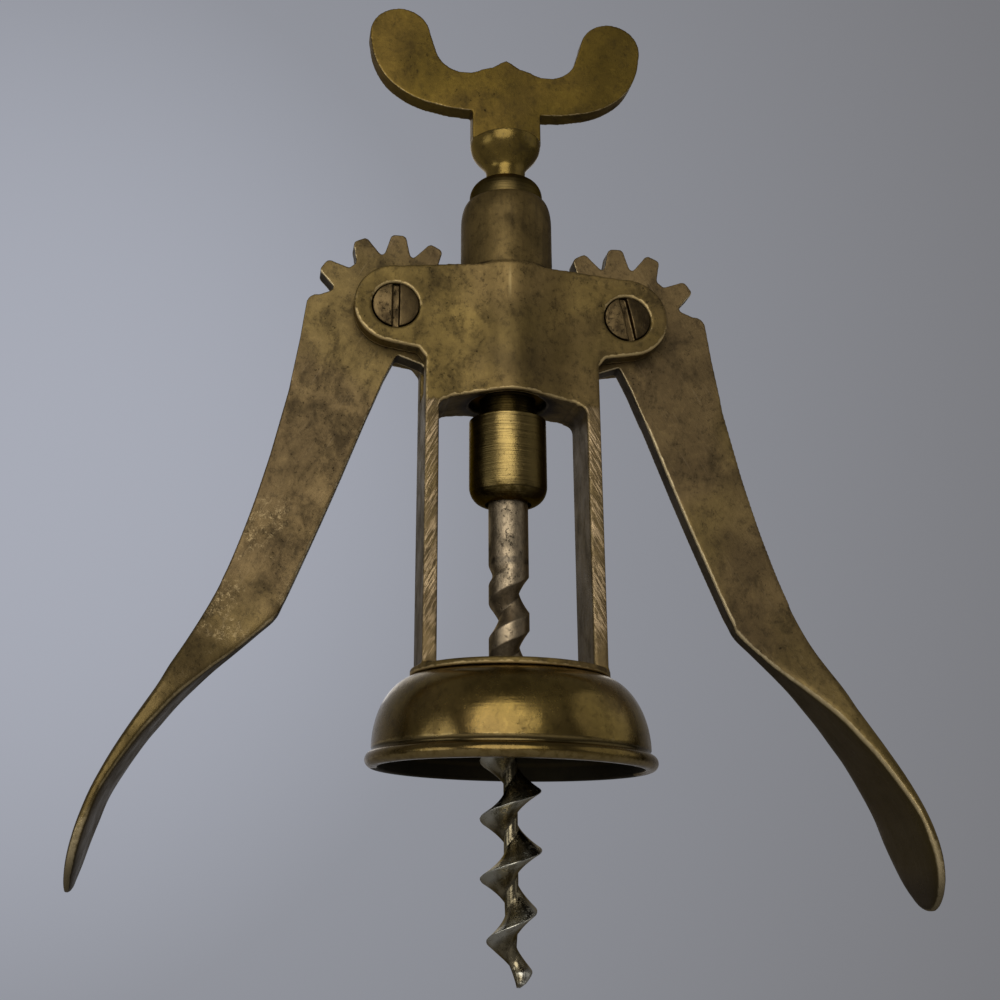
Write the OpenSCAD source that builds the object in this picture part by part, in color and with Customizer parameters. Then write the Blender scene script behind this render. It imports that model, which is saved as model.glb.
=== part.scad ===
// Wing corkscrew: a cast brass frame on a bell, two geared levers, a grooved
// rack sleeve and a steel worm that turns inside the sleeve.
// Millimetres. Origin at the centre of the bell's rim plane, +Z up the worm's
// axis toward the handle, front face toward -Y.

/* [Bell] */
// Diameter over the rim bead
bell_rim_d = 39.5; // [38:0.1:44]
// Breadth of the rim from its outside to the mouth
bell_rim_t = 1.75; // [1.6:0.05:2.4]
// How far the rim bead stands out past the dome
bell_rim_step = 0.85; // [0.5:0.05:1]
// Radius of the half-round rim bead
rim_bead_r = 1; // [0.8:0.05:1.1]
// Height of the bell from rim to crown
bell_h = 12.25; // [12:0.25:16]
// Diameter of the flat crown
bell_crown_d = 24.4; // [22:0.2:26]
// Wall of the dome at its foot
bell_wall = 1.2; // [0.8:0.05:1.3]
// Wall of the crown
bell_crown_t = 1.35; // [1:0.05:2]

/* [Frame] */
// Diameter of the foot ring that stands on the bell
foot_d = 27.6; // [27.4:0.1:30]
// Thickness of the foot ring
foot_t = 0.9; // [0.7:0.05:1.4]
// Diameter of the threaded spigot that holds the bell
spigot_d = 16; // [14:0.5:18]
// Clearance round the worm where it passes the foot
worm_pass = 1; // [0.6:0.1:1.8]
// Distance over the two columns
frame_w = 25.6; // [25:0.1:25.8]
// Width of each column, seen from the front
column_w = 2; // [1.5:0.1:3]
// Depth of the frame from front to back
frame_d = 10; // [9.4:0.1:10.4]
// Height of the hub block's underside
hub_z = 51.1; // [50:0.1:51.3]
// Height of the hub block's top
hub_top_z = 72.4; // [72.3:0.1:74]
// Radius of the ears round the pivots
ear_r = 6.15; // [5.6:0.05:6.6]
// Rise of the arch along the hub's underside
hub_arch = 1.2; // [0.4:0.1:1.6]

/* [Guide barrel] */
// Outer diameter of the guide barrel
barrel_d = 14; // [13.4:0.1:15]
// Height of the barrel's mouth
barrel_top_z = 85.2; // [84.6:0.1:85.6]
// Length of the barrel's rounded shoulder
barrel_round_len = 3.8; // [2:0.1:5]
// Diameter of the bulge where the barrel crosses the hub
bulge_d = 14.5; // [14.2:0.1:15]

/* [Gears] */
// Height of the pivots
pivot_z = 65.2; // [65:0.1:65.4]
// Radius of the gear sectors at the tooth tips
gear_tip_r = 13; // [12.8:0.05:13.2]
// Depth of the gear teeth
tooth_h = 3.2; // [3:0.05:3.4]
// How far the teeth reach past the pitch circle
tooth_reach = 2.1; // [2:0.05:2.2]
// Gap between the tooth tips and the floor of the rack grooves
mesh_gap = 0.3; // [0.25:0.05:0.35]
// Angle from one tooth to the next
tooth_pitch_deg = 26.8; // [26.6:0.1:27]
// Angle of the tooth that meshes at rest, above level
mesh_deg = 7.2; // [7:0.1:7.4]
// Angle of the outermost tooth, from level
tooth_last_deg = 34.3; // [33:0.1:36]
// Thickness of the gear sectors
gear_t = 3.4; // [3:0.05:3.5]
// Clearance round the gears inside the frame
gear_gap = 0.3; // [0.25:0.05:0.4]

/* [Levers] */
// Distance from each pivot out to the paddle's farthest point
lever_reach = 40.1; // [38:0.1:46]
// Drop from the pivots to the paddle's lowest point
lever_drop = 81.8; // [78:0.1:90]
// Thickness of the flat arm
arm_t = 3.2; // [2.6:0.05:3.3]
// Greatest breadth of the thumb paddle
paddle_w = 15; // [12:0.5:18]

/* [Rack sleeve] */
// Diameter of the rack sleeve
sleeve_d = 11.32; // [11.2:0.02:11.5]
// Height of the sleeve's lower end
sleeve_z = 36.9; // [36:0.1:38]
// Height of the sleeve's upper end
sleeve_top_z = 88.95; // [88.6:0.05:89.2]
// Depth of the rack grooves
groove_depth = 1.56; // [1.5:0.02:1.7]
// Radial clearance of parts that slide or turn in each other
running_gap = 0.06; // [0.03:0.01:0.09]
// Radial thickness of the retaining ring in the sleeve's lower end
ring_t = 0.34; // [0.3:0.02:0.6]

/* [Worm] */
// Diameter of the steel shank
shank_d = 5.72; // [5.4:0.02:5.8]
// Diameter over the worm's edge
worm_d = 8.4; // [7.6:0.1:9]
// Diameter of the worm's solid core
worm_core_d = 1.9; // [1.6:0.1:2.4]
// Rise of the worm in one turn
worm_pitch = 7.55; // [7:0.05:8]
// Depth of the worm's point below the bell's rim
worm_below_rim = 26.8; // [24:0.1:30]
// Diameter of the threaded stud in the handle
stud_d = 4; // [3:0.1:4.4]

/* [Handle] */
// Diameter of the turned boss under the wings
boss_d = 11.16; // [11:0.02:11.2]
// Diameter of the neck
neck_d = 6.1; // [5.8:0.05:6.4]
// Thickness of the wing plate
plate_t = 3; // [2.4:0.1:3.1]
// Width of the tab between the wings and the boss
tab_w = 10.9; // [10:0.1:10.9]
// Distance of each thumb lobe's centre from the axis
lobe_x = 17.3; // [17:0.1:17.6]
// Height of the lobes' centres above the foot of the neck
lobe_z = 25.3; // [25:0.1:26]
// Radius of the thumb lobes
lobe_r = 4.9; // [4.6:0.05:5]

/* [Pivot screws] */
// Diameter of the slotted heads
screw_head_d = 6.8; // [6:0.1:7]
// Height of the heads up to their domed face
screw_head_h = 1.25; // [1:0.05:1.4]
// Diameter of the screw's shank
screw_d = 4.4; // [4:0.1:5]
// Width of the driving slot
slot_w = 1.1; // [0.8:0.05:1.3]
// Depth of the driving slot
slot_depth = 0.7; // [0.4:0.05:0.9]

/* [Hidden] */

brass = [0.45, 0.36, 0.20];
bell_brass = [0.50, 0.37, 0.16];
steel = [0.48, 0.47, 0.43];
screw_steel = [0.26, 0.23, 0.18];

cut = 1;                    // how far a cutting solid passes a face
round_fn = 96;              // sides of turned parts
small_fn = 48;              // sides of bores and screws
arch_fn = 180;              // sides of the wide arch under the hub

// bell
rim_r = bell_rim_d / 2;
mouth_r = rim_r - bell_rim_t;
dome_r = rim_r - bell_rim_step;
crown_r = bell_crown_d / 2;
dome_z = 2.6;               // height at which the dome starts
dome_steps = 14;

// pivots, set by the gears' mesh with the rack
sleeve_r = sleeve_d / 2;
groove_floor_r = sleeve_r - groove_depth;
pivot_x = groove_floor_r + mesh_gap + gear_tip_r;

// frame
foot_z = bell_h;
column_z = foot_z + foot_t;
spigot_len = bell_crown_t;
foot_hole_d = worm_d + 2 * worm_pass;
hub_half_w = frame_w / 2;
ear_rise = 0.3;             // ears sit a little high on their pivots
ear_shoulder_x = 9;
ear_heel = [pivot_x - 3.5, pivot_z - 6.5];
ear_heel_drop = 1.4;
window_round_r = 1.3;
arch_half_w = 10.5;
arch_r = (pow(arch_half_w, 2) + pow(hub_arch, 2)) / (2 * hub_arch);

// guide
guide_r = sleeve_r + running_gap;
barrel_r = barrel_d / 2;
barrel_mouth_r = guide_r + 0.04;
bulge_r = bulge_d / 2;
web_r = 15;                 // hollow radius between the bulge and the hub's faces

// gears
gear_root_r = gear_tip_r - tooth_h;
gear_pitch_r = gear_tip_r - tooth_reach;
gear_slot_r = gear_tip_r + 2 * gear_gap;
gear_slot_w = gear_t + 2 * gear_gap;
teeth_in_mesh = 7;
tooth_root_half = 1.9;
tooth_mid_half = 1.5;
tooth_mid_rise = 1.6;       // from the root circle to the pitch flank
tooth_tip_half = 1.3;
tooth_round_r = 0.8;
rack_pitch = gear_pitch_r * tooth_pitch_deg * PI / 180;
mesh_tooth = 4;             // the tooth that faces the rack at rest
tooth_first_deg = 180 - mesh_deg - mesh_tooth * tooth_pitch_deg;
groove_z = pivot_z + gear_pitch_r * mesh_deg * PI / 180;
grooves_each_way = 3;
groove_half_top = 1.75;
groove_half_bottom = 1.5;
pivot_bore_r = screw_d / 2 + running_gap;

// sleeve
sleeve_bore_r = shank_d / 2 + running_gap;
sleeve_end_a = 2.3;         // width of the rounded ends
sleeve_end_b = 2.7;         // length of the rounded ends
ring_len = 1.3;
ring_side_gap = 0.15;
counterbore_r = shank_d / 2 + ring_t + ring_side_gap;
counterbore_len = 4.4;
counterbore_top = sleeve_z + counterbore_len;

// worm
shank_r = shank_d / 2;
core_r = worm_core_d / 2;
shank_core_r = 1.4;
worm_tip_z = -worm_below_rim;
worm_shank_z = 28.2;        // where the helical groove runs out
shank_blend = 3;            // length over which the groove runs out
worm_full_z = 5;            // full diameter below this height
worm_land_z = 12;           // shank diameter above this height
worm_taper_z = -14;         // the edge starts to close in on the point
worm_phase_z = -2.35;       // an edge points to +X at this height
worm_bend_z = -25;          // the helix steepens into the point below this height
// share of the edge's radius, and of the core's, on the way from the taper to the point
worm_nose = [[0, 1], [0.28, 0.81], [0.7, 0.76], [0.86, 0.54], [0.96, 0.27], [1, 0.08]];
worm_nose_core = [[0, 1], [0.7, 0.8], [0.86, 0.5], [1, 0.2]];
worm_nose_drift = 0.9;
worm_turn_steps = 20;
worm_lap = 0.4;             // how far the helix reaches into the plain shank
worm_sides = 24;
stud_r = stud_d / 2;
seat_gap = 0.15;
shoulder_z = sleeve_top_z + seat_gap;
stud_len = 6.2;

// handle
neck_r = neck_d / 2;
boss_r = boss_d / 2;
boss_top_z = shoulder_z + 7;
neck_sweep_r = 2.4;
neck_sweep_z = boss_top_z - 5.1;
wing_z = shoulder_z + 12.05; // underside of the wings
lobe_at = [lobe_x, shoulder_z + lobe_z];
peak_z = shoulder_z + 21.8;
// measured from the lobe's centre: the centre of the hollow between a lobe and the peak,
// and the wing's outer edge from below the lobe to the tab
valley = [-10.6, -1.3];
valley_r = 4.95;
wing_edge = [[4.35, -3.6], [3.4, -6.1], [1.9, -8.4], [0, -10.1], [-2, -11.3], [-4, -12.1],
             [-6.2, -12.6], [-8.3, -13]];

// screws
head_seat_y = -frame_d / 2 + screw_head_h + 0.05;
head_gap = 0.15;
head_dome = 0.3;
slot_turn_left = 0;
slot_turn_right = 11;

// points on an arc of an ellipse, from angle a0 to a1
function arc(c, rx, ry, a0, a1, n) =
    [for (i = [0:n]) let (a = a0 + (a1 - a0) * i / n) [c[0] + rx * cos(a), c[1] + ry * sin(a)]];
// a right-hand half outline closed by its mirror image
function mirrored(p) = concat(p, [for (i = [len(p) - 1:-1:0]) [-p[i][0], p[i][1]]]);
function turned(p, a) = [p[0] * cos(a) - p[1] * sin(a), p[0] * sin(a) + p[1] * cos(a)];
function smooth(t) = let (u = max(0, min(1, t))) u * u * (3 - 2 * u);
function mix(a, b, t) = a + (b - a) * t;

// stands an X-Z outline up, centred on the plane y = 0
module upright(depth) {
    rotate([90, 0, 0]) linear_extrude(height = depth, center = true) children();
}

// a cylinder along Y from y0 to y1 at a place in the X-Z plane
module y_cylinder(x, z, r, y0, y1) {
    translate([x, y1, z]) rotate([90, 0, 0]) cylinder(r = r, h = y1 - y0, $fn = small_fn);
}

module bell() {
    outer = concat(
        [[spigot_d / 2, bell_h]],
        arc([crown_r, dome_z], dome_r - crown_r, bell_h - dome_z, 90, 0, dome_steps),
        arc([rim_r - rim_bead_r, rim_bead_r], rim_bead_r, rim_bead_r, 90, -90, 10));
    inner = concat(
        [[mouth_r, 0]],
        arc([crown_r, dome_z], dome_r - bell_wall - crown_r, bell_h - bell_crown_t - dome_z,
            0, 90, dome_steps),
        [[spigot_d / 2, bell_h - bell_crown_t]]);
    color(bell_brass) rotate_extrude($fn = round_fn) polygon(concat(outer, inner));
}

module hub_outline() {
    ear = arc([pivot_x, pivot_z + ear_rise], ear_r, ear_r, 95, -78, 24);
    polygon(mirrored(concat(
        [[0, hub_top_z], [ear_shoulder_x, hub_top_z]],
        ear,
        [ear_heel, [hub_half_w, ear_heel[1] - ear_heel_drop], [hub_half_w, hub_z], [0, hub_z]])));
}

module guide_barrel() {
    shoulder = arc([barrel_mouth_r, barrel_top_z - barrel_round_len],
                   barrel_r - barrel_mouth_r, barrel_round_len, 0, 90, 8);
    rotate_extrude($fn = round_fn)
        polygon(concat([[0, hub_z], [bulge_r, hub_z], [bulge_r, hub_top_z], [barrel_r, hub_top_z]],
                       shoulder, [[0, barrel_top_z]]));
    // webs that blend the bulge into the hub's front and back
    face_y = frame_d / 2;
    web_x = sqrt(pow(bulge_r + web_r, 2) - pow(face_y + web_r, 2));
    start = atan2(face_y + web_r, web_x);
    outline = concat(arc([web_x, face_y + web_r], web_r, web_r, 180 + start, 270, 8),
                     [[web_x, face_y - cut / 2], [0, face_y - cut / 2]]);
    for (sx = [-1, 1]) for (sy = [-1, 1]) scale([sx, sy, 1])
        translate([0, 0, hub_z]) linear_extrude(height = hub_top_z - hub_z) polygon(outline);
}

// the hub and barrel, arched along the underside
module hub() {
    difference() {
        union() {
            upright(frame_d) hub_outline();
            guide_barrel();
        }
        translate([0, frame_d, hub_z + hub_arch - arch_r]) rotate([90, 0, 0])
            cylinder(r = arch_r, h = 2 * frame_d, $fn = arch_fn);
    }
}

module columns() {
    for (s = [-1, 1])
        translate([s * (hub_half_w - column_w / 2), 0, (column_z + hub_z) / 2])
            cube([column_w, frame_d, hub_z - column_z], center = true);
    // rounded upper corners of the windows
    corner_x = hub_half_w - column_w;
    upright(frame_d) for (s = [-1, 1])
        polygon(concat([[s * (corner_x + cut / 2), hub_z + cut / 2], [s * (corner_x + cut / 2), hub_z - window_round_r]],
            [for (p = arc([corner_x - window_round_r, hub_z - window_round_r], window_round_r,
                          window_round_r, 0, 90, 5)) [s * p[0], p[1]]],
            [[s * (corner_x - window_round_r), hub_z + cut / 2]]));
}

module yoke() {
    color(brass) difference() {
        union() {
            hub();
            columns();
            translate([0, 0, foot_z]) cylinder(d = foot_d, h = foot_t, $fn = round_fn);
            translate([0, 0, foot_z - spigot_len]) cylinder(d = spigot_d, h = spigot_len, $fn = round_fn);
        }
        translate([0, 0, hub_z - cut])
            cylinder(r = guide_r, h = barrel_top_z - hub_z + 2 * cut, $fn = round_fn);
        translate([0, 0, foot_z - spigot_len - cut])
            cylinder(d = foot_hole_d, h = spigot_len + foot_t + 2 * cut, $fn = small_fn);
        for (s = [-1, 1]) {
            y_cylinder(s * pivot_x, pivot_z, gear_slot_r, -gear_slot_w / 2, gear_slot_w / 2);
            y_cylinder(s * pivot_x, pivot_z, screw_d / 2, -frame_d, frame_d);
            y_cylinder(s * pivot_x, pivot_z, screw_head_d / 2 + head_gap, -frame_d, head_seat_y);
        }
    }
}

// half of the sleeve's section, with its rack grooves cut as rings
module rack_sleeve() {
    end_x = sleeve_r - sleeve_end_a;
    lower = arc([end_x, sleeve_z + sleeve_end_b], sleeve_end_a, sleeve_end_b, -90, 0, 8);
    upper = arc([end_x, sleeve_top_z - sleeve_end_b], sleeve_end_a, sleeve_end_b, 0, 90, 8);
    color(brass) difference() {
        rotate_extrude($fn = round_fn) polygon(concat(
            [[counterbore_r, sleeve_z]], lower, upper,
            [[sleeve_bore_r, sleeve_top_z], [sleeve_bore_r, counterbore_top],
             [counterbore_r, counterbore_top]]));
        for (k = [-grooves_each_way:grooves_each_way])
            translate([0, 0, groove_z + k * rack_pitch]) rotate_extrude($fn = round_fn)
                polygon([[groove_floor_r, -groove_half_bottom], [sleeve_r, -groove_half_top],
                         [sleeve_r + cut, -groove_half_top], [sleeve_r + cut, groove_half_top],
                         [sleeve_r, groove_half_top], [groove_floor_r, groove_half_bottom]]);
    }
}

// pressed on the shank, it carries the sleeve down with the worm
module retaining_ring() {
    color(steel) translate([0, 0, counterbore_top - ring_side_gap - ring_len]) difference() {
        cylinder(r = counterbore_r - ring_side_gap, h = ring_len, $fn = small_fn);
        translate([0, 0, -cut]) cylinder(r = shank_r, h = ring_len + 2 * cut, $fn = small_fn);
    }
}

// the worm's section at a height z: radius of the edge, radius of the core, width of the land
function nose(z) = (worm_taper_z - z) / (worm_taper_z - worm_tip_z);
function rise(z) = smooth((z - worm_full_z) / (worm_land_z - worm_full_z));
function worm_edge_r(z) =
    z > worm_full_z ? mix(worm_d / 2, shank_r, rise(z)) : worm_d / 2 * lookup(nose(z), worm_nose);
function worm_core_at(z) =
    z > worm_full_z
    ? mix(mix(core_r, shank_core_r, rise(z)), shank_r, smooth((z - worm_shank_z + shank_blend) / shank_blend))
    : core_r * lookup(nose(z), worm_nose_core);
function worm_land(z) = 0.16 * rise(z);
// share of the edge's height at d turns above (d > 0) or below the edge
function worm_profile(d, z) = let (u = max(0, abs(d) - worm_land(z)))
    d > 0 ? pow(max(0, 1 - u / 0.4), 1.6) : pow(max(0, 1 - u / 0.32), 1.35);
function helix_turns(z) = (max(z, (z + worm_bend_z) / 2) - worm_phase_z) / worm_pitch;
function worm_r(a, z) = let (t = a / 360 - helix_turns(z), d = round(t) - t)
    mix(worm_core_at(z), worm_edge_r(z), worm_profile(d, z));
// near the point the section leaves the axis and follows the edge round
function worm_ring(z) = let (
    edge_a = 360 * helix_turns(z),
    off = worm_nose_drift * pow(max(0, nose(z)), 4))
    [for (j = [0:worm_sides - 1]) let (a = 360 * j / worm_sides, r = worm_r(a, z))
        [r * cos(a) + off * cos(edge_a), r * sin(a) + off * sin(edge_a), z]];

// a closed solid from a stack of equal rings
module stacked(rings) {
    n = len(rings[0]);
    m = len(rings);
    points = [for (ring = rings) for (p = ring) p];
    sides = [for (i = [0:m - 2]) for (j = [0:n - 1]) let (k = (j + 1) % n)
        each [[i * n + j, (i + 1) * n + j, (i + 1) * n + k], [i * n + j, (i + 1) * n + k, i * n + k]]];
    bottom = [for (j = [1:n - 2]) [0, j, j + 1]];
    top = [for (j = [1:n - 2]) let (s = (m - 1) * n) [s, s + j + 1, s + j]];
    polyhedron(points = points, faces = concat(bottom, sides, top));
}

module worm() {
    step = worm_pitch / worm_turn_steps;
    count = ceil((worm_shank_z + worm_lap - worm_tip_z) / step);
    rings = [for (i = [0:count]) worm_ring(worm_tip_z + (worm_shank_z + worm_lap - worm_tip_z) * i / count)];
    color(steel) {
        stacked(rings);
        translate([0, 0, worm_shank_z]) cylinder(r = shank_r + 0.001, h = shoulder_z - worm_shank_z, $fn = small_fn);
        translate([0, 0, shoulder_z - cut]) cylinder(r = stud_r, h = stud_len + cut, $fn = small_fn);
    }
}

module wing_outline() {
    lobe = arc(lobe_at, lobe_r, lobe_r, 172, -15, 20);
    dip = arc(lobe_at + valley, valley_r, valley_r, 236, 346, 12);
    edge = [for (p = wing_edge) lobe_at + p];
    polygon(mirrored(concat(
        [[0, peak_z], [0.9, peak_z - 0.5], [2.2, peak_z - 1.4]], dip, lobe, edge,
        [[tab_w / 2, wing_z], [tab_w / 2, boss_top_z - cut], [0, boss_top_z - cut]])));
}

module handle() {
    sweep = arc([neck_r + neck_sweep_r, neck_sweep_z], neck_sweep_r, neck_sweep_r, 180, 118, 8);
    bulge = arc([boss_r - 1.3, boss_top_z - 1.2], 1.3, 1.3, -42, 0, 6);
    color(brass) difference() {
        union() {
            rotate_extrude($fn = round_fn)
                polygon(concat([[0, shoulder_z], [neck_r, shoulder_z]], sweep, bulge,
                               [[boss_r, boss_top_z], [0, boss_top_z]]));
            upright(plate_t) wing_outline();
        }
        translate([0, 0, shoulder_z - cut]) cylinder(r = stud_r, h = stud_len + cut, $fn = small_fn);
    }
}

// gear tooth, pointing along +X, as an outline round the pivot
function tooth() = let (
    tip = arc([gear_tip_r - tooth_round_r, tooth_tip_half - tooth_round_r],
              tooth_round_r, tooth_round_r, 90, 0, 6),
    half = concat([[gear_root_r - 0.8, tooth_root_half + 0.5], [gear_root_r + 0.1, tooth_root_half],
                   [gear_root_r + tooth_mid_rise, tooth_mid_half]], tip))
    concat(half, [for (i = [len(half) - 1:-1:0]) [half[i][0], -half[i][1]]]);

// the right lever's flat head round its pivot, cut by the arm below
module head_outline() {
    last_mesh_deg = tooth_first_deg + (teeth_in_mesh - 1) * tooth_pitch_deg;
    top = station(0);
    lap = [for (i = [0:3]) mix(top[i], station(1)[i], head_lap)];
    polygon(concat(
        arc([0, 0], gear_root_r, gear_root_r, 19, last_mesh_deg + 11, 48),
        [[-0.6, -6.6], [top[2], top[3]], [lap[2], lap[3]], [lap[0], lap[1]], [top[0], top[1]],
         [13.3, -1.2], [13, 1.2], [12.6, 1.9], [11.9, 2.35], [11.1, 2.4]]));
    for (a = concat([tooth_last_deg], [for (k = [0:teeth_in_mesh - 1]) tooth_first_deg + k * tooth_pitch_deg]))
        rotate(a) polygon(tooth());
}

// the right arm and paddle by stations, measured from the pivot: outer edge, inner edge,
// breadth and squareness; the breadth is a share of the arm's thickness (first) or of the
// paddle's (second)
arm_stations = [
    // outer x, outer z, inner x, inner z, arm share, paddle share, squareness
    [13.7, -4.6, 1, -10, 1, 0, 9],
    [15, -13, 3.5, -16.4, 1, 0, 9],
    [17.2, -23, 6.9, -25.6, 1, 0, 9],
    [19.3, -30.8, 9.8, -33.1, 1, 0, 9],
    [21.4, -37.4, 12.4, -39.6, 1, 0, 9],
    [22.8, -41.1, 14.1, -43.7, 1, 0, 9],
    [23.9, -43.6, 15.2, -46, 0.99, 0.005, 9],
    [25.2, -46.2, 17.5, -48.2, 0.84, 0.05, 9],
    [26.3, -48.3, 20.5, -50.9, 0.56, 0.18, 8],
    [27.5, -50.6, 23.2, -53.2, 0.25, 0.38, 8],
    [29, -53.3, 25.6, -55.5, 0.08, 0.57, 7],
    [30.3, -55.9, 27.7, -57.7, 0, 0.69, 6],
    [32.1, -58.9, 29.8, -60.3, 0, 0.77, 5.5],
    [33.6, -61.4, 31.6, -62.6, 0, 0.83, 5],
    [35.6, -65.1, 33.9, -66.1, 0, 0.92, 5],
    [37.4, -69, 35.9, -69.7, 0, 0.99, 4.5],
    [38.6, -72.4, 37, -72.9, 0, 1, 4.5],
    [39.4, -75.2, 37.8, -75.6, 0, 0.93, 4],
    [39.9, -77.8, 38.4, -78.1, 0, 0.77, 4],
    [40.1, -79.9, 38.9, -80.1, 0, 0.55, 3.5],
    [40.1, -81.2, 39.2, -81.3, 0, 0.33, 3],
    [40, -81.8, 39.6, -81.8, 0, 0.12, 2]];
arm_sides = 24;
// the table's own reach and drop, brought to the lever's
arm_scale = [lever_reach / max([for (s = arm_stations) s[0]]),
             lever_drop / -min([for (s = arm_stations) s[1]])];
function station(i) = let (s = arm_stations[i], k = arm_scale)
    [s[0] * k[0], s[1] * k[1], s[2] * k[0], s[3] * k[1], s[4], s[5], s[6]];
head_lap = 0.8;             // how far the head reaches down the arm's first span

// superellipse round the middle of a station; n = 2 is an ellipse
function station_ring(s, side) = let (
    outer = [s[0], s[1]], inner = [s[2], s[3]],
    mid = (outer + inner) / 2, half = (outer - inner) / 2,
    w = (arm_t * s[4] + paddle_w * s[5]) / 2, e = 2 / s[6])
    [for (j = [0:arm_sides - 1]) let (
        a = side * 360 * (j + 0.5) / arm_sides,
        u = sign(cos(a)) * pow(abs(cos(a)), e),
        v = sign(sin(a)) * pow(abs(sin(a)), e))
        [side * (pivot_x + mid[0] + half[0] * u), w * v, pivot_z + mid[1] + half[1] * u]];

module lever(side) {
    color(brass) difference() {
        union() {
            translate([side * pivot_x, 0, pivot_z]) mirror([side < 0 ? 1 : 0, 0, 0])
                upright(gear_t) head_outline();
            stacked([for (i = [len(arm_stations) - 1:-1:0]) station_ring(station(i), side)]);
        }
        y_cylinder(side * pivot_x, pivot_z, pivot_bore_r, -gear_t, gear_t);
    }
}

module lever_left() { lever(-1); }
module lever_right() { lever(1); }

// slotted head in the front ear, threaded end in the rear ear
module pivot_screw(side, slot_turn) {
    dome_r = (pow(screw_head_d / 2, 2) + pow(head_dome, 2)) / (2 * head_dome);
    face_y = -frame_d / 2;
    color(screw_steel) difference() {
        union() {
            y_cylinder(side * pivot_x, pivot_z, screw_head_d / 2, face_y, head_seat_y);
            y_cylinder(side * pivot_x, pivot_z, screw_d / 2, face_y + cut, frame_d / 2);
            translate([side * pivot_x, face_y, pivot_z]) rotate([90, 0, 0]) rotate_extrude($fn = small_fn)
                polygon(concat([[0, 0]],
                    [for (i = [0:6]) let (x = screw_head_d / 2 * (1 - i / 6))
                        [x, sqrt(pow(dome_r, 2) - pow(x, 2)) - dome_r + head_dome]]));
        }
        translate([side * pivot_x, face_y - head_dome, pivot_z]) rotate([0, slot_turn, 0])
            cube([slot_w, 2 * (slot_depth + head_dome), screw_head_d + cut], center = true);
    }
}

module pivot_screw_left() { pivot_screw(-1, slot_turn_left); }
module pivot_screw_right() { pivot_screw(1, -slot_turn_right); }

yoke();
bell();
rack_sleeve();
retaining_ring();
worm();
handle();
lever_left();
lever_right();
pivot_screw_left();
pivot_screw_right();
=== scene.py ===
# Wing corkscrew, dressed for rendering. Every piece but the hidden ring is surfaced again from
# its CAD node, or built again more finely, and gets a worn, patinated metal finish, with some
# light and shade painted into its colour.
# The frame is the CAD's: +Z up the worm's axis, the front face toward -Y. Objects are in
# metres, as are the lights; shapes and the camera's place are written in millimetres.
import math

import bmesh
import bpy
import numpy as np
from mathutils import Matrix, Vector


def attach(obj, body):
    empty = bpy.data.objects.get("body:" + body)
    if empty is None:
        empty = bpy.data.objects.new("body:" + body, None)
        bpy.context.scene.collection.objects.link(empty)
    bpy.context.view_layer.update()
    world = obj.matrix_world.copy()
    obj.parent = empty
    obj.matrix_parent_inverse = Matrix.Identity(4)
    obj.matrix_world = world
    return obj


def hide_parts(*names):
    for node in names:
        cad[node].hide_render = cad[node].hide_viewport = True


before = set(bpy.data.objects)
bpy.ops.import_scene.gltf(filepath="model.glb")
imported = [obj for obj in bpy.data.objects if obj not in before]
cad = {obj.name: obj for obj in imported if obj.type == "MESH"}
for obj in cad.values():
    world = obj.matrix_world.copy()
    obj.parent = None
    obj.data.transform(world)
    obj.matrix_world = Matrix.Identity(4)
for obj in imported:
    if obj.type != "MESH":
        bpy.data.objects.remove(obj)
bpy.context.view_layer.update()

MM = 0.001


# ---------------------------------------------------------------- curves

def ellipse_arc(cx, cz, rx, rz, start, end, steps):
    """Points along an ellipse, from one angle in degrees to another."""
    angles = [math.radians(start + (end - start) * i / steps) for i in range(steps + 1)]
    return [(cx + rx * math.cos(a), cz + rz * math.sin(a)) for a in angles]


def spline(points, steps):
    """A Catmull-Rom curve through points, with a number of steps between each two."""
    p = np.array([points[0]] + list(points) + [points[-1]], float)
    out = []
    for i in range(1, len(p) - 2):
        for t in np.arange(steps) / steps:
            out.append(0.5 * (2 * p[i] + (p[i + 1] - p[i - 1]) * t
                              + (2 * p[i - 1] - 5 * p[i] + 4 * p[i + 1] - p[i + 2]) * t ** 2
                              + (3 * p[i] - p[i - 1] - 3 * p[i + 1] + p[i + 2]) * t ** 3))
    return out + [p[-1]]


def rounded(profile, radius):
    """A closed outline with its sharp corners rounded."""
    steps, sharp = 3, 35        # a corner's steps, and the turn in degrees that makes it sharp
    out = []
    n = len(profile)
    for i in range(n):
        p, q, r = (np.array(profile[(i + k) % n]) for k in (-1, 0, 1))
        u, w = p - q, r - q
        lu, lw = np.linalg.norm(u), np.linalg.norm(w)
        if min(lu, lw) < 1e-6:
            continue
        u, w = u / lu, w / lw
        turn = 180 - math.degrees(math.acos(max(-1, min(1, float(u @ w)))))
        if turn < sharp:
            out.append(tuple(q))
            continue
        d = min(radius, 0.45 * lu, 0.45 * lw)
        a, b = q + u * d, q + w * d
        for t in np.arange(steps + 1) / steps:
            out.append(tuple((1 - t) ** 2 * a + 2 * t * (1 - t) * q + t ** 2 * b))
    return out


def eased_step(t):
    """Rises smoothly from 0 to 1 as t does."""
    t = np.clip(t, 0, 1)
    return t * t * (3 - 2 * t)


# ---------------------------------------------------------------- meshes

def points_of(mesh):
    co = np.empty(len(mesh.vertices) * 3)
    mesh.vertices.foreach_get("co", co)
    return co.reshape(-1, 3)


def normals_of(mesh):
    normals = np.empty(len(mesh.vertices) * 3)
    mesh.vertices.foreach_get("normal", normals)
    return normals.reshape(-1, 3)


def web_of(mesh):
    """A mesh's edges, and how many of them meet at each point."""
    edges = np.empty(len(mesh.edges) * 2, int)
    mesh.edges.foreach_get("vertices", edges)
    counts = np.maximum(np.bincount(edges, minlength=len(mesh.vertices)), 1)
    return edges.reshape(-1, 2), counts.reshape(-1, 1).astype(float)


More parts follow.
